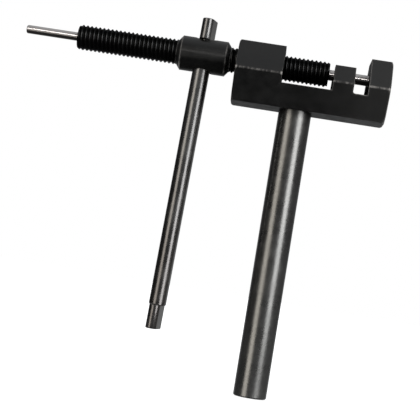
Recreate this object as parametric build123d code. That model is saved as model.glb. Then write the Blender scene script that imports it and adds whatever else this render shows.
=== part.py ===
from build123d import *
import math
import os

os.makedirs("parts", exist_ok=True)

# Rivet-extracting chain tool. Millimetres. +X runs along the drive screw towards the anvil,
# +Z is up, -Y is the front. The handle's axis is x = 0, y = 0 and its free end is z = 0.

# ---- drive screw axis and the hexagonal bar that the body is cut from ----
SPINDLE_Z = 123.1            # height of the screw's axis
ACROSS_FLATS = 23.0          # hexagonal bar, flat top and bottom
HEX_CENTRE_Z = SPINDLE_Z - 4.35
RIDGE_ROUND = 0.9            # rounding of the bar's six long edges
END_FACE_R = 12.1            # radius of the flat left by the turned end chamfers
BODY_LEFT, BODY_RIGHT = -24.4, 33.0

# ---- the cuts in the body ----
BLOCK_RIGHT = -6.9           # right face of the tapped block
TOOTH_LEFT, TOOTH_RIGHT = 12.0, 19.65
ANVIL_LEFT = 25.05
SLOT_FLOOR_Z = SPINDLE_Z - 7.5
TOOTH_TOP_Z = SPINDLE_Z + 2.35
SADDLE_R = 4.05              # roller saddle across the top of the tooth
SLOT_CORNER_R = 0.8          # cutter radius left at the tooth's foot in the narrow slot
BORE_SINK = 0.7              # countersinks of the tapped hole
ANVIL_HOLE_R = 2.3           # lets the driven rivet out
ANVIL_HOLE_SINK = 0.4

# ---- drive screw: hub in the middle, a threaded length each side, a pin in each end ----
THREAD_R = 4.7625            # 3/8 inch, 16 threads per inch
THREAD_PITCH = 1.5875
THREAD_ROOT_R = 3.80
SHANK_R = 4.60               # short plain shank between hub and thread
BLOCK_BORE_R = THREAD_R + 0.08
HUB_R = 6.5
HUB_LEFT, HUB_RIGHT = -45.8, -28.75      # ends of the plain cylinder
HUB_CONE = 1.45              # length of the cone from the hub down to the shank
LEFT_THREAD_FROM, RIGHT_THREAD_FROM = -47.6, -27.0
SCREW_LEFT_END, SCREW_RIGHT_END = -85.4, 10.2
PIN_SEAT_DEPTH = 9.0
THIN_PIN_R, THIN_PIN_TIP = 1.5875, -105.55
THICK_PIN_R, THICK_PIN_TIP = 1.985, 30.5
THICK_PIN_SOCKET_R = THICK_PIN_R + 0.05
PIN_TIP_CHAMFER = 0.3

# ---- T-bar: a loose bar that lies cocked in its cross hole ----
TBAR_X = -37.3
TBAR_LEAN_BACK = 2.0         # degrees that the lower end leans to the back
TBAR_COCK = 1.35             # degrees that the upper end tips towards the body
TBAR_R = 3.25
TBAR_UP, TBAR_DOWN = 13.85, 104.3  # from the screw's axis to each end
CROSS_HOLE_R = TBAR_R + 0.3
CROSS_HOLE_SINK = 0.4
UPPER_FLAT, LOWER_FLAT = 7.6, 8.8  # lengths of the pressed ends, stadiums in section
FLAT_HALF_THICK = 2.2
FLAT_HALF_WIDE = 4.2         # too wide for the cross hole
FLAT_TURN = 15.0             # degrees that the right flats are turned to the front
FLAT_RUN_OUT = 0.6           # where a pressed end fades into the round bar
TOP_BEVEL_X, TOP_BEVEL_Z = 1.1, 1.8   # one corner of the upper end is cut off
TBAR_END_CHAMFER = 0.35

# ---- handle ----
HANDLE_R = 6.15
HANDLE_END_CHAMFER = 0.4
SPIGOT_R, SPIGOT_LENGTH = 4.0, 6.5


def save(shape, name):
    """Write one node as a single solid."""
    solids = shape.solids()
    assert len(solids) == 1, f"{name} has {len(solids)} solids"
    solid = solids[0]
    solid.label = name
    export_step(solid, f"parts/{name}.step")
    print(f"{name:12s} {solid.volume:10.1f} mm3")
    return solid


def turned(profile):
    """Solid of revolution about the screw's axis from (x, radius) points."""
    points = [(x, 0, SPINDLE_Z + r) for x, r in profile]
    face = Face(Wire.make_polygon([Vector(*p) for p in points], close=True))
    axis = Axis((0, 0, SPINDLE_Z), (1, 0, 0))
    return revolve(face, axis, 360)


def box_between(x0, x1, y0, y1, z0, z1):
    centre = Pos((x0 + x1) / 2, (y0 + y1) / 2, (z0 + z1) / 2)
    return centre * Box(x1 - x0, y1 - y0, z1 - z0)


def along_x(radius, x0, x1, z=SPINDLE_Z):
    return Pos((x0 + x1) / 2, 0, z) * Rot(0, 90, 0) * Cylinder(radius, x1 - x0)


def hexagonal_bar():
    """Bar with flat top and bottom, rounded long edges and turned end chamfers."""
    corner_r = ACROSS_FLATS / math.sqrt(3)
    corners = []
    for k in range(6):
        angle = math.radians(60 * k)
        corners.append(Vector(BODY_LEFT, corner_r * math.cos(angle),
                              HEX_CENTRE_Z + corner_r * math.sin(angle)))
    end = Face(Wire.make_polygon(corners, close=True))
    bar = Solid.extrude(end, Vector(BODY_RIGHT - BODY_LEFT, 0, 0))
    long_edges = [e for e in bar.edges() if abs(e.tangent_at(0.5).X) > 0.99]
    bar = bar.fillet(RIDGE_ROUND, long_edges)
    # 30 degree end chamfers, which only reach the corners of the hexagon
    drop = corner_r + 0.5 - END_FACE_R
    run = drop * math.tan(math.radians(30))
    outline = [(BODY_LEFT, 0), (BODY_LEFT, END_FACE_R), (BODY_LEFT + run, END_FACE_R + drop),
               (BODY_RIGHT - run, END_FACE_R + drop), (BODY_RIGHT, END_FACE_R), (BODY_RIGHT, 0)]
    face = Face(Wire.make_polygon([Vector(x, 0, HEX_CENTRE_Z + r) for x, r in outline], close=True))
    envelope = revolve(face, Axis((0, 0, HEX_CENTRE_Z), (1, 0, 0)), 360)
    return bar & envelope


def wide_slot():
    return box_between(BLOCK_RIGHT, TOOTH_LEFT, -20, 20, SLOT_FLOOR_Z, 140)


def narrow_slot():
    """Slot between tooth and anvil, with the cutter's radius at the tooth's foot."""
    cut = box_between(TOOTH_RIGHT, ANVIL_LEFT, -20, 20, SLOT_FLOOR_Z, 140)
    foot = [e for e in cut.edges()
            if abs(e.tangent_at(0.5).Y) > 0.99
            and abs(e.center().X - TOOTH_RIGHT) < 0.01
            and abs(e.center().Z - SLOT_FLOOR_Z) < 0.01]
    return fillet(foot, SLOT_CORNER_R)


def tooth_cuts():
    """Take the tooth down below the bar's top and cut the roller saddle along X."""
    top = box_between(TOOTH_LEFT - 0.01, TOOTH_RIGHT + 0.01, -20, 20, TOOTH_TOP_Z, 140)
    saddle = along_x(SADDLE_R, TOOTH_LEFT - 1, TOOTH_RIGHT + 1)
    saddle += box_between(TOOTH_LEFT - 1, TOOTH_RIGHT + 1, -SADDLE_R, SADDLE_R, SPINDLE_Z, 140)
    return top, saddle


def make_body():
    body = hexagonal_bar()
    body -= wide_slot()
    body -= narrow_slot()
    for cut in tooth_cuts():
        body -= cut
    # tapped hole through the block, drawn plain with a running clearance and two countersinks
    sink = BORE_SINK
    body -= turned([(BODY_LEFT - 1, 0), (BODY_LEFT - 1, BLOCK_BORE_R + sink),
                    (BODY_LEFT, BLOCK_BORE_R + sink), (BODY_LEFT + sink, BLOCK_BORE_R),
                    (BLOCK_RIGHT - sink, BLOCK_BORE_R), (BLOCK_RIGHT, BLOCK_BORE_R + sink),
                    (BLOCK_RIGHT + 1, BLOCK_BORE_R + sink), (BLOCK_RIGHT + 1, 0)])
    # hole that lets the driven rivet out through the anvil
    lead = ANVIL_HOLE_SINK
    body -= turned([(ANVIL_LEFT - 1, 0), (ANVIL_LEFT - 1, ANVIL_HOLE_R + lead),
                    (ANVIL_LEFT, ANVIL_HOLE_R + lead), (ANVIL_LEFT + lead, ANVIL_HOLE_R),
                    (BODY_RIGHT - lead, ANVIL_HOLE_R), (BODY_RIGHT, ANVIL_HOLE_R + lead),
                    (BODY_RIGHT + 1, ANVIL_HOLE_R + lead), (BODY_RIGHT + 1, 0)])
    # blind hole in the underside for the handle's spigot
    under = HEX_CENTRE_Z - ACROSS_FLATS / 2
    body -= Pos(0, 0, under + SPIGOT_LENGTH / 2) * Cylinder(SPIGOT_R, SPIGOT_LENGTH)
    return body


def make_handle():
    """Plain round bar with a spigot that is pressed into the body's underside."""
    shoulder = HEX_CENTRE_Z - ACROSS_FLATS / 2
    c = HANDLE_END_CHAMFER
    tip = shoulder + SPIGOT_LENGTH - 0.2
    outline = [(0, 0), (HANDLE_R - c, 0), (HANDLE_R, c), (HANDLE_R, shoulder),
               (SPIGOT_R, shoulder), (SPIGOT_R, tip - 0.5), (SPIGOT_R - 0.5, tip), (0, tip)]
    face = Face(Wire.make_polygon([Vector(r, 0, z) for r, z in outline], close=True))
    return revolve(face, Axis.Z, 360)


def tbar_place():
    """Location whose Z axis is the T-bar's own axis, with its origin on the screw's axis."""
    return Pos(TBAR_X, 0, SPINDLE_Z) * Rot(TBAR_LEAN_BACK, 0, 0) * Rot(0, TBAR_COCK, 0)


def thread_rings(inner, outer):
    """(x, radius) points of pitched rings, from the shank out to a bevelled screw end."""
    step = 1 if outer > inner else -1
    crest, root = 0.125 * THREAD_PITCH, 0.2 * THREAD_PITCH
    flank = (THREAD_PITCH - crest - root) / 2
    count = int((abs(outer - inner) - 0.1) / THREAD_PITCH)
    first = outer - step * (count * THREAD_PITCH + 0.1)
    points = [(first - step * 0.2, SHANK_R), (first, THREAD_ROOT_R)]
    for k in range(count):
        x = first + step * k * THREAD_PITCH
        crest_r = THREAD_R if k < count - 1 else THREAD_ROOT_R + 0.45
        points += [(x + step * flank, crest_r), (x + step * (flank + crest), crest_r),
                   (x + step * (2 * flank + crest), THREAD_ROOT_R),
                   (x + step * THREAD_PITCH, THREAD_ROOT_R)]
    points.append((outer, THREAD_ROOT_R))
    return points


def make_screw():
    """Turned drive screw with the cross hole for the T-bar and a socket in each end."""
    left = thread_rings(LEFT_THREAD_FROM, SCREW_LEFT_END)
    right = thread_rings(RIGHT_THREAD_FROM, SCREW_RIGHT_END)
    hub = [(HUB_LEFT - HUB_CONE, SHANK_R), (HUB_LEFT, HUB_R),
           (HUB_RIGHT, HUB_R), (HUB_RIGHT + HUB_CONE, SHANK_R)]
    outline = [(SCREW_LEFT_END, 0)] + left[::-1] + hub + right + [(SCREW_RIGHT_END, 0)]
    screw = turned(outline)
    hole = Cylinder(CROSS_HOLE_R, 40)
    for side in (1, -1):
        # countersink where the hole meets the hub's round surface
        cone_z = side * (HUB_R - CROSS_HOLE_SINK - 0.35 + 2)
        cone = Cone(CROSS_HOLE_R, CROSS_HOLE_R + 4, 4)
        hole += Pos(0, 0, cone_z) * (cone if side == 1 else Rot(180, 0, 0) * cone)
    screw -= Pos(TBAR_X, 0, SPINDLE_Z) * Rot(TBAR_LEAN_BACK, 0, 0) * hole
    for end, sign, radius in ((SCREW_LEFT_END, 1, THIN_PIN_R), (SCREW_RIGHT_END, -1, THICK_PIN_SOCKET_R)):
        inner = end + sign * PIN_SEAT_DEPTH
        screw -= along_x(radius, min(end, inner), max(end, inner))
    return screw


def make_pin(radius, screw_end, tip):
    """Round pin seated in the screw's end, with a lightly chamfered tip."""
    step = 1 if tip > screw_end else -1
    root = screw_end - step * (PIN_SEAT_DEPTH - 0.1)
    c = PIN_TIP_CHAMFER
    return turned([(root, 0), (root, radius), (tip - step * c, radius), (tip, radius - c), (tip, 0)])


def pressed_end(end, foot, round_from):
    """Flattened end of the T-bar, from its end face through its foot to the round bar."""
    section = Pos(0, 0, foot) * SlotOverall(2 * FLAT_HALF_WIDE, 2 * FLAT_HALF_THICK, rotation=90)
    flat = Solid.extrude(section.faces()[0], Vector(0, 0, end - foot))
    rim = [e for e in flat.edges() if abs(e.bounding_box().center().Z - end) < 0.01]
    flat = flat.chamfer(TBAR_END_CHAMFER, None, rim)
    fade = loft([section.faces()[0], (Pos(0, 0, round_from) * Circle(TBAR_R)).faces()[0]])
    return flat + fade


def make_tbar():
    """Round bar whose ends are pressed flat and so spread wider than the cross hole."""
    up_foot, down_foot = TBAR_UP - UPPER_FLAT, LOWER_FLAT - TBAR_DOWN
    up_round, down_round = up_foot - FLAT_RUN_OUT, down_foot + FLAT_RUN_OUT
    bar = Pos(0, 0, (up_round + down_round) / 2) * Cylinder(TBAR_R, up_round - down_round)
    bar += pressed_end(TBAR_UP, up_foot, up_round)
    bar += pressed_end(-TBAR_DOWN, down_foot, down_round)
    # one corner of the upper end is cut off
    corner, low = FLAT_HALF_THICK - TOP_BEVEL_X, TBAR_UP - TOP_BEVEL_Z
    out, high = FLAT_HALF_THICK + 1, TBAR_UP + 1
    outline = [(corner, TBAR_UP), (FLAT_HALF_THICK, low), (out, low), (out, high), (corner, high)]
    wedge = Face(Wire.make_polygon([Vector(x, -8, z) for x, z in outline], close=True))
    bar -= Solid.extrude(wedge, Vector(0, 16, 0))
    return tbar_place() * Rot(0, 0, -FLAT_TURN) * bar


save(make_body(), "body")
save(make_handle(), "handle")
save(make_screw(), "drive_screw")
save(make_pin(THIN_PIN_R, SCREW_LEFT_END, THIN_PIN_TIP), "thin_pin")
save(make_pin(THICK_PIN_R, SCREW_RIGHT_END, THICK_PIN_TIP), "thick_pin")
save(make_tbar(), "t_bar")
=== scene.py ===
"""Chain tool: a slotted hexagonal body on a round handle, with a T-bar driven screw. Metres."""

import math

import bmesh
import bpy
from mathutils import Matrix, Vector


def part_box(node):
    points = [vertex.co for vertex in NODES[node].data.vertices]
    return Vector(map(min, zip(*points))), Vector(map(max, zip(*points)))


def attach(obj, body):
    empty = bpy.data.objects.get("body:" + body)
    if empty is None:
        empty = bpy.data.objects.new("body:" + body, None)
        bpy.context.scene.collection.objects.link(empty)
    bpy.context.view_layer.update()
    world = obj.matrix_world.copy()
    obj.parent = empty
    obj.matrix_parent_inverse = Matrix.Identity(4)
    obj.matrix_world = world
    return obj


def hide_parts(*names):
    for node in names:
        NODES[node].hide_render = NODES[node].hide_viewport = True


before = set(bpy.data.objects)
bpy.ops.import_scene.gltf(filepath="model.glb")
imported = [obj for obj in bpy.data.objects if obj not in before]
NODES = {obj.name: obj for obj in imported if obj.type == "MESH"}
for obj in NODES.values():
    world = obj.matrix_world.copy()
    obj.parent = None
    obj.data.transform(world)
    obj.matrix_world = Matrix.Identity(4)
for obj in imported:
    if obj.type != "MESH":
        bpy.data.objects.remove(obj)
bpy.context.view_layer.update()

MM = 0.001

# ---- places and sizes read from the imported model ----
body_lo, body_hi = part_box("body")
screw_lo, screw_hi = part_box("drive_screw")
thin_lo, thin_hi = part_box("thin_pin")
thick_lo, thick_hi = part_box("thick_pin")
SCREW_Z = (screw_lo.z + screw_hi.z) / 2
HUB_R = (screw_hi.z - screw_lo.z) / 2
THIN_PIN_R = (thin_hi.z - thin_lo.z) / 2
THICK_PIN_R = (thick_hi.z - thick_lo.z) / 2

# ---- body: its front and back ridges, and the places along them where painted glints sit at the corners ----
RIDGE_Y, RIDGE_Z = body_hi.y, SCREW_Z - 4.35 * MM
BLOCK_RIGHT = -6.9 * MM
RIDGE_CORNERS = (body_lo.x, BLOCK_RIGHT, body_hi.x)

# ---- drive screw: hub, its cones and shanks ----
HUB_LEFT, HUB_RIGHT, HUB_CONE = -45.8 * MM, -28.75 * MM, 1.45 * MM
HUB_EDGE_BREAK = 0.24 * MM
SHANK_R = 4.60 * MM
CROSS_HOLE_R = 3.55 * MM
CROSS_HOLE_SINK = 0.75 * MM       # depth of its 45 degree countersinks, from the hub's top line
CUTTER_REACH = 12 * MM            # half the length of the cross hole's cutter

# ---- drive screw: threads ----
PITCH = 1.5875 * MM
THREAD_R, ROOT_R = 4.7625 * MM, 4.20 * MM
LEFT_THREAD_FROM, RIGHT_THREAD_FROM = -47.6 * MM, -27.0 * MM
LEFT_PHASE, RIGHT_PHASE = 0.0, 0.3          # where each helix starts, in turns
END_BEVEL = 0.95 * MM
CREST_NARROWING = 1.25            # above 1, crests are narrower than roots
RUN_OUT_SLOPE = 0.9               # how steeply the shank falls into the first groove
THICK_PIN_PLAY = 0.05 * MM        # round the thick pin, in its socket
SOCKET_SHARE = 0.05               # depth of the drawn socket, as a share of the thread's length
PLUG_R, PLUG_REACH = ROOT_R - 0.2 * MM, 2 * MM        # the hub's mesh goes on inside each thread

# ---- T-bar: round, pressed flat at both ends, cocked in its loose hole ----
TBAR_X, TBAR_LEAN_BACK, TBAR_COCK = -37.3 * MM, 2.0, 1.35
TBAR_R, TBAR_UP, TBAR_DOWN = 3.25 * MM, 13.85 * MM, 104.3 * MM
UPPER_FLAT, LOWER_FLAT, FLAT_RUN_OUT = 7.6 * MM, 8.8 * MM, 0.6 * MM
FLAT_HALF_THICK, FLAT_HALF_WIDE, FLAT_TURN = 2.2 * MM, 4.2 * MM, 15.0
END_ROUND = 0.35 * MM             # rounding of the edge round each end face
TOP_BEVEL_X, TOP_BEVEL_Z = 1.1 * MM, 1.8 * MM         # one corner of the upper end is cut off
WEDGE_PAST, WEDGE_REACH = 2 * MM, 8 * MM    # the corner's cutter: out past the bar, and half its width
FLAT_FACING = 0.97                # a face that looks along X by more than this is part of a broad flat

# ---- fineness of the meshes, and the angles in degrees above which an edge is sharp ----
SEGMENTS, HUB_SEGMENTS = 96, 128
ROWS_PER_PITCH = 14
RUN_OUT_STEPS, END_STEPS = 8, 4
FLAT_QUAD = 1e-9                  # quads shorter than this along the screw are left out
MERGE_DISTANCE = 1e-6
BEVEL_SEGMENTS = 4
SHARP, HUB_SHARP, THREAD_SHARP, TBAR_SHARP, BEVELLED = 35, 40, 50, 30, 30


# ---------------------------------------------------------------- mesh helpers
def add_object(name, data):
    obj = bpy.data.objects.new(name, data)
    bpy.context.scene.collection.objects.link(obj)
    return obj


def mesh_object(name, verts, faces):
    mesh = bpy.data.meshes.new(name)
    mesh.from_pydata(verts, [], faces)
    mesh.validate()
    obj = add_object(name, mesh)
    shade(obj, SHARP)
    return obj


def shade(obj, angle):
    """Smooth shading, with every edge sharper than angle kept crisp."""
    mesh = obj.data
    mesh.polygons.foreach_set("use_smooth", [True] * len(mesh.polygons))
    bm = bmesh.new()
    bm.from_mesh(mesh)
    for e in bm.edges:
        e.smooth = not (len(e.link_faces) == 2 and e.calc_face_angle(0) > math.radians(angle))
    bm.to_mesh(mesh)
    bm.free()


def merge_points(obj):
    """Join points that lie on each other, and turn every face outwards."""
    bm = bmesh.new()
    bm.from_mesh(obj.data)
    bmesh.ops.remove_doubles(bm, verts=bm.verts, dist=MERGE_DISTANCE)
    bmesh.ops.recalc_face_normals(bm, faces=bm.faces)
    bm.to_mesh(obj.data)
    bm.free()


def bake_modifiers(obj):
    """Apply every modifier to the object's own mesh."""
    bpy.context.view_layer.update()
    graph = bpy.context.evaluated_depsgraph_get()
    mesh = bpy.data.meshes.new_from_object(obj.evaluated_get(graph), depsgraph=graph)
    obj.modifiers.clear()
    obj.data = mesh


def cut_away(obj, tool):
    """Boolean difference, baked; the cutter is removed."""
    cut = obj.modifiers.new("cut", "BOOLEAN")
    cut.object = tool
    cut.operation = "DIFFERENCE"
    cut.solver = "EXACT"
    bake_modifiers(obj)
    bpy.data.objects.remove(tool)


def bevel_edges(obj, width, angle):
    """Round every edge sharper than angle."""
    bevel = obj.modifiers.new("edge_break", "BEVEL")
    bevel.width = width
    bevel.segments = BEVEL_SEGMENTS
    bevel.limit_method = "ANGLE"
    bevel.angle_limit = math.radians(angle)
    bake_modifiers(obj)


def stack(circles, first=0):
    """One list of all the circles' points, and each circle's vertex numbers counted from first."""
    verts, rings = [], []
    for points in circles:
        start = first + len(verts)
        rings.append(range(start, start + len(points)))
        verts += points
    return verts, rings


def skin(rings):
    """Faces between neighbouring rings of vertex numbers. A ring of one is a point on the axis."""
    count = max(len(ring) for ring in rings)
    faces = []
    for a, b in zip(rings, rings[1:]):
        for k in range(count):
            n = (k + 1) % count
            corners = (a[k % len(a)], a[n % len(a)], b[n % len(b)], b[k % len(b)])
            faces.append(tuple(dict.fromkeys(corners)))
    return faces


def capped_skin(rings):
    """Skin with a flat face on the first and the last ring."""
    return skin(rings) + [tuple(rings[0])[::-1], tuple(rings[-1])]


# ---------------------------------------------------------------- drive screw with true threads
def screw_circle(x, r, count=SEGMENTS):
    """Points round the screw's axis; just one, on the axis, where the radius is 0."""
    if r == 0:
        return [(x, 0, SCREW_Z)]
    turns = [2 * math.pi * k / count for k in range(count)]
    return [(x, r * math.cos(a), SCREW_Z + r * math.sin(a)) for a in turns]


def lathe(name, profile):
    """Closed solid turned about the screw's axis from (x, radius) points."""
    verts, rings = stack([screw_circle(x, r, HUB_SEGMENTS) for x, r in profile])
    return mesh_object(name, verts, skin(rings))


def cross_hole_cutter():
    """Round cutter that leans back as the T-bar does, and flares at both ends for the countersinks."""
    flare = HUB_R - CROSS_HOLE_SINK
    wide = CROSS_HOLE_R + CUTTER_REACH - flare
    turns = [2 * math.pi * k / SEGMENTS for k in range(SEGMENTS)]
    stops = [(-CUTTER_REACH, wide), (-flare, CROSS_HOLE_R), (flare, CROSS_HOLE_R), (CUTTER_REACH, wide)]
    verts, rings = stack([[(r * math.cos(a), r * math.sin(a), z) for a in turns] for z, r in stops])
    cutter = mesh_object("cross_hole_cutter", verts, capped_skin(rings))
    lean = Matrix.Rotation(math.radians(TBAR_LEAN_BACK), 4, "X")
    cutter.matrix_world = Matrix.Translation((TBAR_X, 0, SCREW_Z)) @ lean
    return cutter


def make_screw_core():
    """Hub, cones and shanks, with the countersunk cross hole cut through."""
    plug_left, plug_right = LEFT_THREAD_FROM - PLUG_REACH, RIGHT_THREAD_FROM + PLUG_REACH
    core = lathe("screw_hub", [
        (plug_left, 0), (plug_left, PLUG_R), (LEFT_THREAD_FROM, PLUG_R), (LEFT_THREAD_FROM, SHANK_R),
        (HUB_LEFT - HUB_CONE, SHANK_R), (HUB_LEFT, HUB_R),
        (HUB_RIGHT, HUB_R), (HUB_RIGHT + HUB_CONE, SHANK_R),
        (RIGHT_THREAD_FROM, SHANK_R), (RIGHT_THREAD_FROM, PLUG_R), (plug_right, PLUG_R), (plug_right, 0)])
    cut_away(core, cross_hole_cutter())
    bevel_edges(core, HUB_EDGE_BREAK, BEVELLED)
    shade(core, HUB_SHARP)
    return core


def thread_radius(share, x, inner, outer):
    """Radius at x, at a share of one pitch.

    Crests are narrow and round and roots wider. The screw end's bevel cuts the thread down, and
    the shank runs out into its first groove.
    """
    if x == inner:
        return SHANK_R
    swell = (0.5 - 0.5 * math.cos(2 * math.pi * share)) ** CREST_NARROWING
    thread = ROOT_R + (THREAD_R - ROOT_R) * swell
    bevel = ROOT_R + abs(x - outer) * (THREAD_R - ROOT_R) / END_BEVEL
    shank = SHANK_R - abs(x - inner) * RUN_OUT_SLOPE
    return max(min(thread, bevel), shank)


def helical_thread(name, inner, outer, phase, socket_r):
    """Right-hand thread from the shank at inner to the bevelled screw end at outer.

    The grid leans with the helix, so its rows follow the crests.
    """
    low, high = min(inner, outer), max(inner, outer)
    turns = int((high - low) / PITCH) + 3
    rows = [k / ROWS_PER_PITCH for k in range(-ROWS_PER_PITCH, turns * ROWS_PER_PITCH)]
    verts, faces = [], []
    for row in rows:
        for k in range(SEGMENTS + 1):
            a = 2 * math.pi * k / SEGMENTS
            x = min(max(low + PITCH * (row + phase + k / SEGMENTS), low), high)
            r = thread_radius(row, x, inner, outer)
            verts.append((x, r * math.cos(a), SCREW_Z + r * math.sin(a)))
    wide = SEGMENTS + 1
    for i in range(len(rows) - 1):
        for k in range(SEGMENTS):
            quad = (i * wide + k, (i + 1) * wide + k, (i + 1) * wide + k + 1, i * wide + k + 1)
            xs = [verts[q][0] for q in quad]
            if max(xs) - min(xs) > FLAT_QUAD:
                faces.append(quad)
    # end face with the pin's socket
    socket_floor = outer + (inner - outer) * SOCKET_SHARE
    end = [screw_circle(outer, ROOT_R), screw_circle(outer, socket_r), screw_circle(socket_floor, socket_r)]
    points, rings = stack(end, first=len(verts))
    thread = mesh_object(name, verts + points, faces + skin(rings))
    merge_points(thread)
    shade(thread, THREAD_SHARP)
    return thread


# ---------------------------------------------------------------- T-bar
def tbar_section(half_thick, half_wide, z):
    """Ring of points round the bar's own axis: a circle that is drawn out along Y when pressed."""
    ring = []
    for k in range(SEGMENTS):
        a = 2 * math.pi * (k + 0.5) / SEGMENTS
        y = half_thick * math.sin(a)
        ring.append((half_thick * math.cos(a), y + math.copysign(half_wide - half_thick, y), z))
    return ring


def smooth(share):
    """Share from 0 to 1 that starts and ends gently."""
    return share * share * (3 - 2 * share)


def rounded_end(tip, inwards):
    """Stations (z, how far pressed, inset) out to an end face; inwards is 1 or -1 along the bar."""
    stations = []
    for k in range(END_STEPS):
        a = math.pi / 2 * k / (END_STEPS - 1)
        stations.append((tip + inwards * END_ROUND * (1 - math.sin(a)), 1, END_ROUND * (1 - math.cos(a))))
    return stations


def corner_cutter():
    """Wedge that cuts one corner off the upper end, on the bar's own +X side."""
    corner, low = FLAT_HALF_THICK - TOP_BEVEL_X, TBAR_UP - TOP_BEVEL_Z
    slant = WEDGE_PAST * TOP_BEVEL_X / TOP_BEVEL_Z
    high, out = TBAR_UP + WEDGE_PAST, FLAT_HALF_THICK + 2 * WEDGE_PAST
    wedge = [(corner - slant, high), (FLAT_HALF_THICK + slant, low - WEDGE_PAST),
             (out, low - WEDGE_PAST), (out, high)]
    points = [(x, y, z) for y in (-WEDGE_REACH, WEDGE_REACH) for x, z in wedge]
    sides = [(k, (k + 1) % 4, 4 + (k + 1) % 4, 4 + k) for k in range(4)]
    return mesh_object("corner_cutter", points, sides + [(3, 2, 1, 0), (4, 5, 6, 7)])


def make_tbar():
    """Bar whose pressed ends blend into the round, with softened end faces and one cut corner.

    Its broad flats get the second material.
    """
    lower_foot, upper_foot = LOWER_FLAT - TBAR_DOWN, TBAR_UP - UPPER_FLAT
    shares = [k / RUN_OUT_STEPS for k in range(RUN_OUT_STEPS + 1)]
    stations = rounded_end(-TBAR_DOWN, 1)[::-1]
    stations += [(lower_foot + FLAT_RUN_OUT * s, 1 - smooth(s), 0) for s in shares]
    stations += [(upper_foot - FLAT_RUN_OUT * (1 - s), smooth(s), 0) for s in shares]
    stations += rounded_end(TBAR_UP, -1)
    sections = []
    for z, pressed, inset in stations:
        thick = TBAR_R + (FLAT_HALF_THICK - TBAR_R) * pressed - inset
        wide = TBAR_R + (FLAT_HALF_WIDE - TBAR_R) * pressed - inset
        sections.append(tbar_section(thick, wide, z))
    verts, rings = stack(sections)
    bar = mesh_object("t_bar_bar", verts, capped_skin(rings))
    cut_away(bar, corner_cutter())
    shade(bar, TBAR_SHARP)
    for face in bar.data.polygons:
        face.material_index = int(abs(face.normal.x) > FLAT_FACING)
    lean = Matrix.Rotation(math.radians(TBAR_LEAN_BACK), 4, "X")
    cock = Matrix.Rotation(math.radians(TBAR_COCK), 4, "Y")
    turn = Matrix.Rotation(math.radians(-FLAT_TURN), 4, "Z")
    bar.data.transform(Matrix.Translation((TBAR_X, 0, SCREW_Z)) @ lean @ cock @ turn)
    return bar


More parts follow.
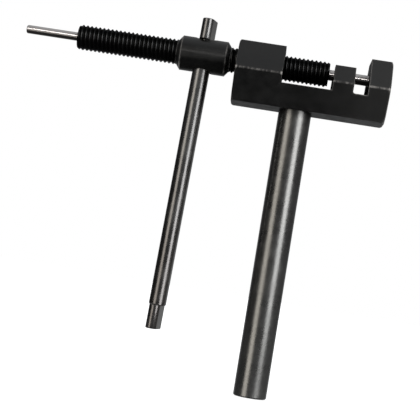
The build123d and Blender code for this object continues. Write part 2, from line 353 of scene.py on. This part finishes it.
# ---------------------------------------------------------------- shader node helper
class Nodes:
    """Adds and links the shader nodes of one material or world."""

    def __init__(self, owner):
        owner.use_nodes = True
        self.owner = owner
        self.tree = owner.node_tree
        self.bsdf = self.tree.nodes.get("Principled BSDF")

    def add(self, kind, **inputs):
        """New node. An input is named with _ for each space in its name."""
        node = self.tree.nodes.new(kind)
        for key, value in inputs.items():
            node.inputs[key.replace("_", " ")].default_value = value
        return node

    def link(self, out, to):
        self.tree.links.new(out, to)

    def feed(self, socket, value):
        """Link a node's output to the socket, or set the socket to a plain value."""
        if isinstance(value, bpy.types.NodeSocket):
            self.link(value, socket)
        else:
            socket.default_value = value

    def coords(self, scale=(1, 1, 1)):
        tex = self.add("ShaderNodeTexCoord")
        mapping = self.add("ShaderNodeMapping", Scale=scale)
        self.link(tex.outputs["Object"], mapping.inputs["Vector"])
        return mapping.outputs["Vector"]

    def part(self, vector, axis):
        """The X, Y or Z of a vector."""
        split = self.add("ShaderNodeSeparateXYZ")
        self.link(vector, split.inputs[0])
        return split.outputs[axis]

    def noise(self, vector, scale, detail=4.0, rough=0.6):
        node = self.add("ShaderNodeTexNoise", Scale=scale, Detail=detail, Roughness=rough)
        self.link(vector, node.inputs["Vector"])
        return node.outputs["Fac"]

    def ramp(self, fac, stops):
        """Colour ramp from (position, grey or colour) stops."""
        node = self.add("ShaderNodeValToRGB")
        ramp = node.color_ramp
        while len(ramp.elements) < len(stops):
            ramp.elements.new(0.5)
        for element, (pos, value) in zip(ramp.elements, stops):
            element.position = pos
            element.color = (value, value, value, 1) if isinstance(value, float) else (*value, 1)
        self.link(fac, node.inputs["Fac"])
        return node.outputs["Color"]

    def fade(self, value, start, end, at_start, at_end, course="LINEAR"):
        """Goes from at_start to at_end as the value goes from start to end, and stays level outside."""
        node = self.add("ShaderNodeMapRange", From_Min=start, From_Max=end, To_Min=at_start, To_Max=at_end)
        node.interpolation_type = course
        self.link(value, node.inputs["Value"])
        return node.outputs[0]

    def mix(self, fac, a, b):
        node = self.add("ShaderNodeMix")
        node.data_type = "RGBA"
        for index, value in ((0, fac), (6, a), (7, b)):
            self.feed(node.inputs[index], value)
        return node.outputs[2]

    def math(self, op, a, b=0.0, clamp=False):
        node = self.add("ShaderNodeMath")
        node.operation = op
        node.use_clamp = clamp
        self.feed(node.inputs[0], a)
        self.feed(node.inputs[1], b)
        return node.outputs[0]

    def gap(self, value, place):
        """How far the value is from the place, on either side."""
        return self.math("ABSOLUTE", self.math("SUBTRACT", value, place))

    def edge_mask(self, radius, gain):
        """1 on sharp edges, 0 on flat surfaces."""
        bevel = self.add("ShaderNodeBevel", Radius=radius)
        bevel.samples = 6
        geometry = self.add("ShaderNodeNewGeometry")
        dot = self.add("ShaderNodeVectorMath")
        dot.operation = "DOT_PRODUCT"
        self.link(bevel.outputs["Normal"], dot.inputs[0])
        self.link(geometry.outputs["Normal"], dot.inputs[1])
        return self.math("MULTIPLY", self.math("SUBTRACT", 1.0, dot.outputs["Value"]), gain, True)

    def turned(self, amount):
        """Turning marks run round the screw's axis, so highlights spread along the axis."""
        self.bsdf.inputs["Anisotropic"].default_value = amount
        self.bsdf.inputs["Anisotropic Rotation"].default_value = 0.25
        tangent = self.add("ShaderNodeTangent")
        tangent.direction_type = "RADIAL"
        tangent.axis = "X"
        self.link(tangent.outputs["Tangent"], self.bsdf.inputs["Tangent"])

    def bump(self, height, strength, distance):
        node = self.add("ShaderNodeBump", Strength=strength, Distance=distance)
        self.link(height, node.inputs["Height"])
        self.link(node.outputs["Normal"], self.bsdf.inputs["Normal"])


# ---------------------------------------------------------------- wear, shine and painted light of the black steel
# Where a rub or a painted glint is still whole and where it has faded out, as distances from the middle of
# its line.
RIDGE_LINE = (0.12 * MM, 0.55 * MM)
SPOT_ALONG, SPOT_ACROSS = (0.3 * MM, 0.9 * MM), (0.25 * MM, 0.75 * MM)
RIM_LINE = (0.12 * MM, 0.38 * MM)
RIDGE_SKIN = (RIDGE_Y - 1.4 * MM, RIDGE_Y - 0.5 * MM)       # from the bar's middle: not yet, fully ridge
LINE_WEAR, KNOCK_WEAR, RIM_WEAR_AND_HIGHLIGHT, BROAD_WEAR = 0.65, 3.0, 0.55, 0.35
ANVIL_END = (7 * MM, 26 * MM)     # along X: not yet handled, fully handled
SLOT_DEPTH = (SCREW_Z - 1 * MM, SCREW_Z + 1.5 * MM)         # heights: deep in a slot, where painted shade takes the shine, and in the open
OPEN_SHINE = 0.13
# painted shade in the threads' shine: dull grooves, and full shine only in a band just above the axis
CREST_FROM = (4.30 * MM, 4.66 * MM)         # radii: still groove, fully crest
SHINE_TOP, SHINE_FOOT = (1.1 * MM, 2.3 * MM), (-1.2 * MM, 0.3 * MM)     # heights over the screw's axis
GROOVE_SHINE, TOP_SHINE, FOOT_SHINE = 0.10, 0.08, 0.25      # shares of the crests' full shine


def ridge_wear_and_glints(n, edges):
    """Rubbed line along the bar's front and back ridges, partly a painted highlight, with knocks at edges
    and painted glints at the corners.
    """
    v = n.coords()
    off = n.gap(n.part(v, "Z"), RIDGE_Z)
    near = n.fade(off, *RIDGE_LINE, 1.0, 0.0)
    rub = n.noise(n.coords((1, 0.3, 0.3)), scale=420.0, detail=4.0, rough=0.7)
    line = n.math("MULTIPLY", near, n.ramp(rub, [(0.42, 0.05), (0.64, 1.0)]))
    knocks = n.math("MULTIPLY", n.math("MULTIPLY", near, edges), KNOCK_WEAR)
    wear = n.math("ADD", n.math("MULTIPLY", line, LINE_WEAR), knocks, True)
    # painted glints: pale spots where the ridges end at the block's and the anvil's corners
    across = n.fade(off, *SPOT_ACROSS, 1.0, 0.0)
    for corner in RIDGE_CORNERS:
        along = n.fade(n.gap(n.part(v, "X"), corner), *SPOT_ALONG, 1.0, 0.0)
        wear = n.math("ADD", wear, n.math("MULTIPLY", along, across), True)
    # only on the ridge itself, not across the walls and end faces
    outer = n.fade(n.math("ABSOLUTE", n.part(v, "Y")), *RIDGE_SKIN, 0.0, 1.0)
    return n.math("MULTIPLY", wear, outer)


def rim_wear_and_highlight(n, rims, wear):
    """Wear with pale rings added where a turned part's cylinder meets its cones: partly rubbed rims, partly
    a painted highlight for the glints on the cone edges.
    """
    v = n.coords()
    for rim in rims:
        # pale ring: partly rubbed, partly a painted highlight
        near = n.fade(n.gap(n.part(v, "X"), rim), *RIM_LINE, RIM_WEAR_AND_HIGHLIGHT, 0.0)
        rubbed = n.ramp(n.noise(v, scale=230.0, detail=3.0, rough=0.6), [(0.42, 0.1), (0.62, 1.0)])
        wear = n.math("ADD", wear, n.math("MULTIPLY", near, rubbed), True)
    return wear


def dull_walls(n):
    """Sawn walls across the bar shine less than the rolled flats; deep in a slot their shine is taken away
    altogether as painted shade.
    """
    geometry = n.add("ShaderNodeNewGeometry")
    facing = n.math("ABSOLUTE", n.part(geometry.outputs["Normal"], "X"))
    flat = n.ramp(facing, [(0.75, 0.5), (0.95, 0.0)])
    open_air = n.fade(n.part(n.coords(), "Z"), *SLOT_DEPTH, 0.0, OPEN_SHINE)
    n.link(n.math("MAXIMUM", flat, open_air), n.bsdf.inputs["Specular IOR Level"])


def shaded_crest_shine(n):
    """Thread crests shine with painted shade: the grooves hardly shine, and the crests shine fully only in
    a band just above the screw's axis.
    """
    v = n.coords()
    up, out = n.math("SUBTRACT", n.part(v, "Z"), SCREW_Z), n.part(v, "Y")
    radius = n.math("SQRT", n.math("ADD", n.math("MULTIPLY", up, up), n.math("MULTIPLY", out, out)))
    crest = n.fade(radius, *CREST_FROM, GROOVE_SHINE, 1.0)
    high = n.fade(up, *SHINE_TOP, 1.0, TOP_SHINE)
    low = n.fade(up, *SHINE_FOOT, FOOT_SHINE, 1.0)
    shine = n.math("MULTIPLY", crest, n.math("MULTIPLY", high, low))
    n.link(shine, n.bsdf.inputs["Specular IOR Level"])


# ---------------------------------------------------------------- materials
def black_oxide(name, dark, light, edge, rough, grain, turned=0.0, handled=None, rims=(), oily_and_shaded=False):
    """Oxide-black machined steel: fine mottling, scuffs, paler worn edges.

    handled is the paler colour towards the anvil, where chains and hands rub the body. It brings the
    ridge's wear and painted glints with it, and the duller walls, whose shine deep in a slot is taken away
    as painted shade. An oiled thread has no worn edges, and painted shade masks its shine.
    """
    n = Nodes(bpy.data.materials.new(name))
    v = n.coords()
    mottle = n.noise(v, scale=260.0, detail=5.0, rough=0.65)
    cloud = n.noise(v, scale=60.0, detail=3.0, rough=0.5)
    blend = n.math("ADD", n.math("MULTIPLY", mottle, 0.55), n.math("MULTIPLY", cloud, 0.45))
    tone = n.ramp(blend, [(0.38, dark), (0.62, light)])
    if handled is not None:
        anvil_end = n.fade(n.part(v, "X"), *ANVIL_END, 0.0, 1.0)
        tone = n.mix(anvil_end, tone, (*handled, 1))
        dull_walls(n)
    # a thread's shine is masked as painted shade: dull grooves, darker above and below a band just over the
    # axis
    if oily_and_shaded:
        shaded_crest_shine(n)
    else:
        edges = n.edge_mask(0.35 * MM, gain=5.0)
        rubbed = n.ramp(n.noise(v, scale=500.0, detail=3.0, rough=0.7), [(0.40, 0.05), (0.70, 0.8)])
        wear = n.math("MULTIPLY", edges, rubbed)
        if handled is not None:
            broad = n.math("MULTIPLY", n.edge_mask(0.9 * MM, gain=4.0), anvil_end)
            wear = n.math("ADD", wear, n.math("MULTIPLY", broad, BROAD_WEAR), True)
            wear = n.math("ADD", wear, ridge_wear_and_glints(n, edges), True)
        tone = n.mix(rim_wear_and_highlight(n, rims, wear), tone, (*edge, 1))
    n.link(tone, n.bsdf.inputs["Base Color"])
    n.link(n.ramp(mottle, [(0.35, rough - 0.05), (0.65, rough + 0.07)]), n.bsdf.inputs["Roughness"])
    if turned:
        n.turned(turned)
    cuts = n.noise(n.coords(grain), scale=400.0, detail=3.0, rough=0.6)
    n.bump(cuts, strength=0.25, distance=0.02 * MM)
    return n.owner


FOOT_SHADE_AND_TINT_COLOUR, FOOT_SHADE_HEIGHTS = (0.06, 0.03, 0.02, 1), (25 * MM, 95 * MM)    # heights: full painted shade and brown tint, none
# painted contact shade at the top of the handle, where the body's shadow falls on it
CONTACT_SHADE_COLOUR, CONTACT_SHADE_DEPTH, CONTACT_SHADE_MOST = (0.01, 0.01, 0.01, 1), 3 * MM, 0.75
DRAWN = (1, 1, 0.06)              # scale of the drawing marks, long along Z


def satin_bar(name, dark, light, rough, grain, pits, foot=1.0, contact_shade_z=None):
    """Drawn steel bar under thin oxide: cloudy speckle that breaks up its long highlights.

    Below 1, foot is how much of the bar's own colour is left at the bottom, under painted shade with a
    brown tint. Painted contact shade darkens the bar for a short way below the height where it goes under
    the body.
    """
    n = Nodes(bpy.data.materials.new(name))
    n.bsdf.inputs["Metallic"].default_value = 1.0
    v = n.coords()
    speckle = n.noise(v, scale=900.0, detail=4.0, rough=0.7)
    cloud = n.noise(v, scale=120.0, detail=4.0, rough=0.6)
    drawn = n.noise(n.coords(DRAWN), scale=500.0, detail=3.0, rough=0.6)
    blend = n.math("ADD", n.math("MULTIPLY", speckle, grain), n.math("MULTIPLY", cloud, 1 - grain))
    tone = n.ramp(blend, [(0.35, dark), (0.65, light)])
    # darker and browner towards the foot: painted shade for the highlights that dim lower down, with a
    # brown tint
    if foot < 1.0:
        unshaded_share = n.fade(n.part(v, "Z"), *FOOT_SHADE_HEIGHTS, foot, 1.0)
        tone = n.mix(unshaded_share, FOOT_SHADE_AND_TINT_COLOUR, tone)
    # painted shade: darker for a short way below the given height, where the bar goes under the body
    if contact_shade_z is not None:
        contact_shade = n.fade(n.part(v, "Z"), contact_shade_z - CONTACT_SHADE_DEPTH, contact_shade_z, 0.0, CONTACT_SHADE_MOST)
        tone = n.mix(contact_shade, tone, CONTACT_SHADE_COLOUR)
    n.link(tone, n.bsdf.inputs["Base Color"])
    n.link(n.ramp(cloud, [(0.35, rough - 0.04), (0.68, rough + 0.08)]), n.bsdf.inputs["Roughness"])
    height = n.math("ADD", n.math("MULTIPLY", drawn, 0.5), n.math("MULTIPLY", speckle, 0.5))
    n.bump(height, strength=pits, distance=0.02 * MM)
    return n.owner


def bright_pin(name):
    """Bare hardened steel with fine turning marks."""
    n = Nodes(bpy.data.materials.new(name))
    n.bsdf.inputs["Metallic"].default_value = 1.0
    rub = n.noise(n.coords((0.08, 1, 1)), scale=900.0, detail=3.0, rough=0.6)
    tone = n.ramp(rub, [(0.3, (0.57, 0.545, 0.53)), (0.7, (0.70, 0.67, 0.655))])
    gloss = n.ramp(n.noise(n.coords(), scale=700.0), [(0.35, 0.30), (0.65, 0.38)])
    n.link(tone, n.bsdf.inputs["Base Color"])
    n.link(gloss, n.bsdf.inputs["Roughness"])
    n.turned(0.99)
    n.bump(rub, strength=0.15, distance=0.01 * MM)
    return n.owner


def dress(obj, *materials):
    """Give a CAD node or a piece its materials, on the object's own slots."""
    if not obj.material_slots:
        for m in materials:
            obj.data.materials.append(m)
        return
    for i, s in enumerate(obj.material_slots):
        s.link = "OBJECT"
        s.material = materials[min(i, len(materials) - 1)]


BODY = black_oxide("body_black_oxide", dark=(0.0022, 0.0022, 0.0021), light=(0.0075, 0.0073, 0.0069),
                   edge=(0.28, 0.265, 0.25), rough=0.46, grain=(0.15, 1, 1),
                   handled=(0.0125, 0.0121, 0.0114))
SCREW_PLAIN = black_oxide("hub_black_oxide", dark=(0.0015, 0.0015, 0.0015), light=(0.0035, 0.0035, 0.0033),
                          edge=(0.20, 0.19, 0.18), rough=0.35, grain=(1, 0.15, 0.15),
                          turned=0.8, rims=(HUB_LEFT, HUB_RIGHT))
SCREW_THREAD = black_oxide("thread_black_oxide", dark=(0.0005, 0.0005, 0.0005),
                           light=(0.0012, 0.0012, 0.0012), edge=None, rough=0.20, grain=(1, 0.15, 0.15),
                           oily_and_shaded=True)
HANDLE = satin_bar("handle_steel", dark=(0.24, 0.238, 0.228), light=(0.36, 0.356, 0.342),
                   rough=0.28, grain=0.5, pits=0.5, contact_shade_z=body_lo.z)
TBAR = satin_bar("tbar_steel", dark=(0.25, 0.245, 0.24), light=(0.36, 0.355, 0.345),
                 rough=0.26, grain=0.1, pits=0.16, foot=0.7)
PRESSED = satin_bar("pressed_steel", dark=(0.52, 0.51, 0.495), light=(0.66, 0.65, 0.63),
                    rough=0.42, grain=0.2, pits=0.2)
PIN = bright_pin("pin_steel")


# ---------------------------------------------------------------- the pieces
screw_core = make_screw_core()
left_thread = helical_thread("left_thread", LEFT_THREAD_FROM, screw_lo.x, LEFT_PHASE, THIN_PIN_R)
right_thread = helical_thread("right_thread", RIGHT_THREAD_FROM, screw_hi.x, RIGHT_PHASE,
                              THICK_PIN_R + THICK_PIN_PLAY)
for piece in (screw_core, left_thread, right_thread):
    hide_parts("drive_screw")
    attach(piece, "screw")
dress(screw_core, SCREW_PLAIN)
dress(left_thread, SCREW_THREAD)
dress(right_thread, SCREW_THREAD)

tbar = make_tbar()
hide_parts("t_bar")
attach(tbar, "bar")
dress(tbar, TBAR, PRESSED)

for node, material in (("body", BODY), ("handle", HANDLE), ("thin_pin", PIN), ("thick_pin", PIN)):
    dress(NODES[node], material)


# ---------------------------------------------------------------- stage, lights, camera
FLOOR_R, FLOOR_DROP = 6.0, 0.2 * MM
FLOOR_GLOW = (0.05, 0.6, 0.80, 1.02)        # distance from the handle's end from, to; glow from, to


def make_floor():
    """Round pale floor, a hair below the handle's end."""
    bm = bmesh.new()
    bmesh.ops.create_circle(bm, cap_ends=True, radius=FLOOR_R, segments=SEGMENTS)
    mesh = bpy.data.meshes.new("floor")
    bm.to_mesh(mesh)
    bm.free()
    floor = add_object("floor", mesh)
    floor.location.z = -FLOOR_DROP
    return floor


def make_stage():
    """Pale floor, lit from within like a light table, so that it meets the backdrop unseen."""
    floor = make_floor()
    n = Nodes(bpy.data.materials.new("pale_floor"))
    grain = n.noise(n.coords(), scale=30.0, detail=3.0, rough=0.5)
    n.link(n.ramp(grain, [(0.3, 0.86), (0.7, 0.90)]), n.bsdf.inputs["Base Color"])
    n.bsdf.inputs["Roughness"].default_value = 0.9
    n.bsdf.inputs["Specular IOR Level"].default_value = 0.0
    n.bsdf.inputs["Emission Color"].default_value = (1, 1, 1, 1)
    away = n.add("ShaderNodeVectorMath")
    away.operation = "LENGTH"
    n.link(n.coords(), away.inputs[0])
    glow = n.fade(away.outputs["Value"], *FLOOR_GLOW)
    n.link(glow, n.bsdf.inputs["Emission Strength"])
    floor.data.materials.append(n.owner)
    floor.visible_glossy = False


# The room that the steel sees. Each area: the part of the direction along one axis where it starts
# and where it is full, and its brightness at both.
ROOM_DIM = 0.022                  # everywhere
ROOM_ABOVE = (0.40, 1.00, 0.0, 0.55)
ROOM_BEHIND = (0.60, 0.97, 0.0, 0.22)
ROOM_FRONT = (-0.99, -0.80, 0.06, 0.0)
ROOM_RIGHT = (0.30, 1.00, 0.0, 0.07)
TABLE_GLOW = (-0.02, -0.12, 0.0, 0.09)
TABLE_END = (-0.30, -0.55, 1.0, 0.0)        # takes the table's glow away again, straight below
ROOM_COLOUR, BACKDROP_COLOUR = (0.96, 0.98, 1.0, 1), (1, 1, 1, 1)


def make_world():
    """White backdrop for the camera; the steel sees a soft grey room: pale above, dim below."""
    world = bpy.data.worlds.new("studio")
    bpy.context.scene.world = world
    n = Nodes(world)
    ahead = n.add("ShaderNodeTexCoord").outputs["Generated"]

    def area(axis, bounds):
        return n.fade(n.part(ahead, axis), *bounds, course="SMOOTHSTEP")

    table = n.math("MULTIPLY", area("Z", TABLE_GLOW), area("Z", TABLE_END))
    level = ROOM_DIM
    for light in (area("Z", ROOM_ABOVE), area("Y", ROOM_BEHIND), area("Y", ROOM_FRONT),
                  area("X", ROOM_RIGHT), table):
        level = n.math("ADD", light, level)
    room = n.add("ShaderNodeBackground", Color=ROOM_COLOUR)
    n.link(level, room.inputs["Strength"])
    backdrop = n.tree.nodes["Background"]
    backdrop.inputs["Color"].default_value = BACKDROP_COLOUR
    backdrop.inputs["Strength"].default_value = 1.0
    path = n.add("ShaderNodeLightPath")
    choose = n.add("ShaderNodeMixShader")
    n.link(path.outputs["Is Camera Ray"], choose.inputs["Fac"])
    n.link(room.outputs[0], choose.inputs[1])
    n.link(backdrop.outputs[0], choose.inputs[2])
    n.link(choose.outputs[0], n.tree.nodes["World Output"].inputs["Surface"])


LIGHT_AIM = Vector((0, 0, 0.075))
LIGHT_DISTANCE = 0.9
STREAK_SIZE = (0.9, 0.07)


def soft_light(name, azimuth, elevation, size, power, colour):
    """Area light placed round its aim. Azimuth 0 is the front, positive to the right."""
    a, e = math.radians(azimuth), math.radians(elevation)
    away = Vector((math.sin(a) * math.cos(e), -math.cos(a) * math.cos(e), math.sin(e)))
    lamp = bpy.data.lights.new(name, "AREA")
    lamp.shape = "RECTANGLE"
    lamp.size, lamp.size_y = size
    lamp.energy = power
    lamp.color = colour
    obj = add_object(name, lamp)
    obj.location = LIGHT_AIM + away * LIGHT_DISTANCE
    obj.rotation_mode = "QUATERNION"
    obj.rotation_quaternion = away.to_track_quat("Z", "Y")
    return obj


def light_only(lamp, receivers):
    """Let a lamp light some pieces and no others."""
    group = bpy.data.collections.new(lamp.name + "_receivers")
    for piece in receivers:
        group.objects.link(piece)
    lamp.light_linking.receiver_collection = group


CAMERA_AT = Vector((-1.0, -425.8, 38.35)) * MM
CAMERA_YAW, CAMERA_PITCH, CAMERA_ROLL = 3.30, 3.70, 9.36        # degrees: left, up, leaning left
CAMERA_LENS, CAMERA_SENSOR = 98.0, 36                           # as the camera's settings take them
CAMERA_SEES = (0.01, 50)


def make_camera():
    data = bpy.data.cameras.new("camera")
    data.sensor_width = CAMERA_SENSOR
    data.lens = CAMERA_LENS
    data.clip_start, data.clip_end = CAMERA_SEES
    camera = add_object("camera", data)
    yaw, pitch, roll = (math.radians(v) for v in (CAMERA_YAW, CAMERA_PITCH, CAMERA_ROLL))
    right = Vector((math.cos(yaw), math.sin(yaw), 0))
    ahead = Vector((-math.sin(yaw), math.cos(yaw), 0))
    up = Vector((0, 0, 1))
    look = ahead * math.cos(pitch) + up * math.sin(pitch)
    top = up * math.cos(pitch) - ahead * math.sin(pitch)
    side = right * math.cos(roll) + top * math.sin(roll)
    top = top * math.cos(roll) - right * math.sin(roll)
    turn = Matrix((side, top, -look)).transposed()
    camera.matrix_world = Matrix.Translation(CAMERA_AT) @ turn.to_4x4()
    bpy.context.scene.camera = camera


make_stage()
make_world()
soft_light("left_strip", -41, 4, (0.44, 1.1), 2.1, (1.0, 0.95, 0.88))
soft_light("right_strip", 43, 20, (0.48, 0.85), 3.3, (0.97, 0.98, 1.0))
hub_streak = soft_light("hub_streak", -2, 13, STREAK_SIZE, 0.55, (1.0, 0.98, 0.95))
light_only(hub_streak, [screw_core])
pin_streak = soft_light("pin_streak", -2, 17, STREAK_SIZE, 3.4, (1.0, 0.98, 0.97))
light_only(pin_streak, [NODES["thin_pin"], NODES["thick_pin"]])
make_camera()
bpy.context.scene.view_settings.view_transform = "Standard"
